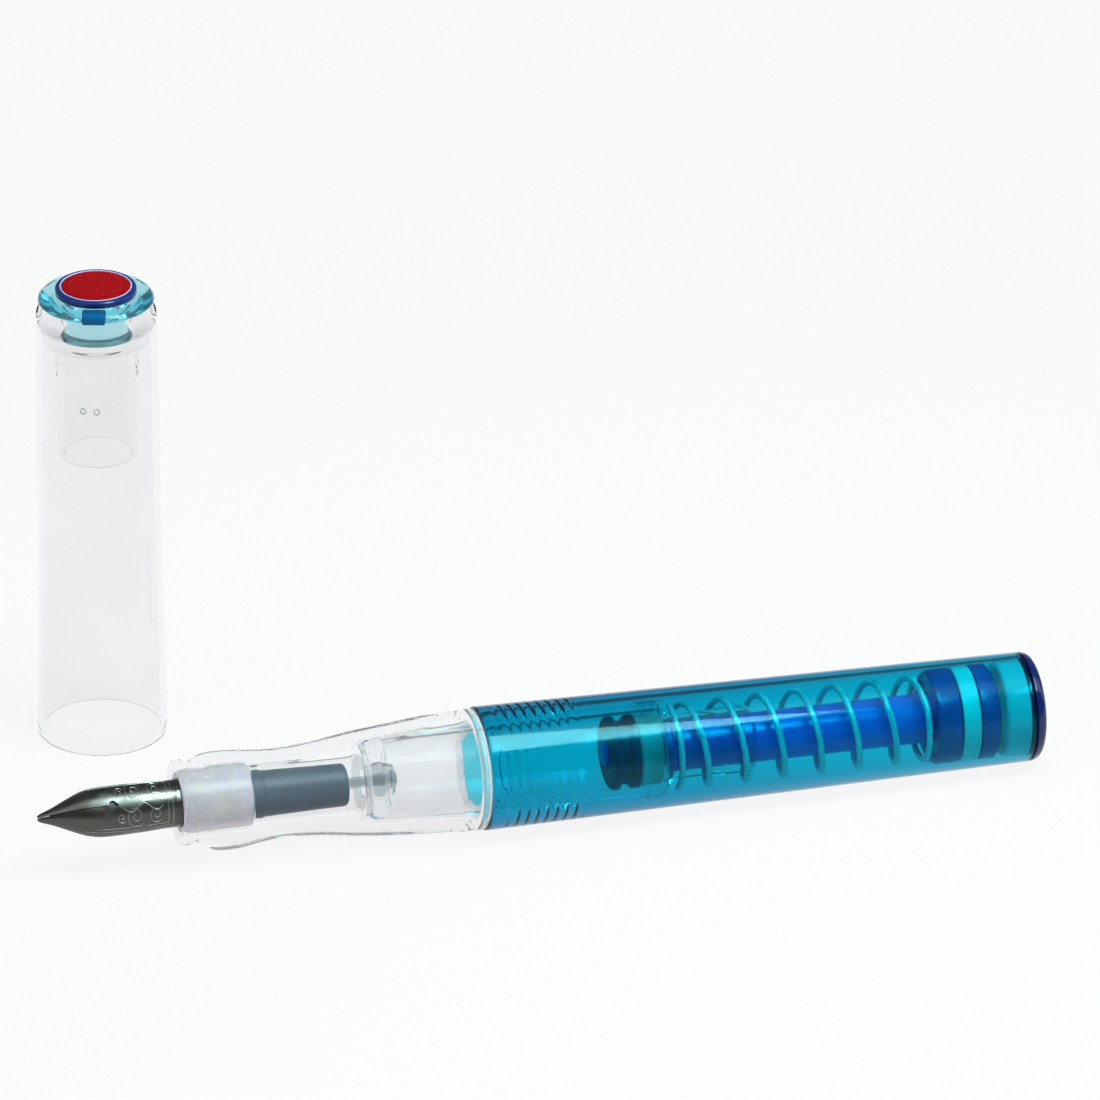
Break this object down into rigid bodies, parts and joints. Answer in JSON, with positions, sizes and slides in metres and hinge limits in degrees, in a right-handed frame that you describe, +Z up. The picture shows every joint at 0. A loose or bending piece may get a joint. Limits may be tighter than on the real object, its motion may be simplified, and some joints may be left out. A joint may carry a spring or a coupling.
{
  "type": "fountain pen",
  "caption": "Clear fountain pen with a sprung piston filler, a blue screw-on barrel and a steel nib, lying beside its push-on cap standing on its open end.",
  "frame": {"origin": "centre of the footprint of the lying pen and its standing cap, on the surface that they rest on", "axes": "+X along the pen from the nib to the barrel's end, +Y from the pen to the cap, +Z up"},
  "size_m": [0.1292, 0.054, 0.062],
  "materials": {
    "nib_steel": "polished stainless steel with fine engraving",
    "spring_wire": "bright spring wire",
    "clear_plastic": "polished clear plastic",
    "frosted_plastic": "clear plastic with a satin, slightly milky look",
    "clear_silicone": "translucent silicone",
    "inked_plastic": "dark slate-blue plastic",
    "black_rubber": "black moulded rubber",
    "rod_blue": "opaque dark blue plastic",
    "knob_blue": "opaque bright blue plastic",
    "pale_green": "pale green-blue plastic",
    "blue_tint": "polished transparent cyan-blue plastic",
    "deep_blue_tint": "polished transparent blue plastic, deeper than the barrel",
    "light_blue_tint": "polished transparent light blue plastic",
    "navy_plastic": "glossy navy plastic",
    "red_enamel": "glossy dark red with a faint embossed pattern"
  },
  "bodies": {
    "pen": {"nib": "nib_steel", "feed": "clear_plastic", "ink_collector": "inked_plastic", "breather_tube": "inked_plastic", "inlet_grommet": "black_rubber", "nib_sleeve": "clear_plastic", "grip_section": "frosted_plastic", "chamber_seal": "clear_silicone", "ink_chamber": "clear_plastic", "piston_guide": "clear_plastic", "spring": "spring_wire"},
    "plunger": {"plunger_rod": "rod_blue", "piston_seal": "black_rubber", "piston_head": "clear_plastic", "plunger_knob": "knob_blue", "knob_band": "pale_green"},
    "mouth_ring": {"barrel_ring": "clear_silicone"},
    "barrel": {"barrel": "blue_tint", "barrel_end_plug": "deep_blue_tint"},
    "cap": {"cap_shell": "clear_plastic", "inner_cap": "clear_plastic", "cap_finial": "light_blue_tint", "finial_bezel": "navy_plastic", "finial_disc": "red_enamel"}
  },
  "joints": [
    {"name": "plunger_press", "type": "slide", "parent": "pen", "child": "plunger", "axis": [-0.9999, 0, 0.0119], "range_m": [0, 0.022], "stiffness_N_per_m": 250, "springref_m": -0.01, "deforming": ["spring"]},
    {"name": "barrel_draw", "type": "slide", "parent": "pen", "child": "mouth_ring", "axis": [0.9999, 0, -0.0119], "range_m": [0, 0.01001]},
    {"name": "barrel_turn", "type": "hinge", "parent": "mouth_ring", "child": "barrel", "pos_m": [-0.00807, -0.01925, 0.0078], "axis": [0.9999, 0, -0.0119], "range_deg": [0, 2880]},
    {"name": "cap_lift", "type": "slide", "parent": "pen", "child": "cap", "axis": [0, 0, 1], "range_m": [0, 0.06]}
  ],
  "couplings": [
    {"joint": "barrel_draw", "follows": "barrel_turn", "m_per_rad": 0.00019894}
  ]
}
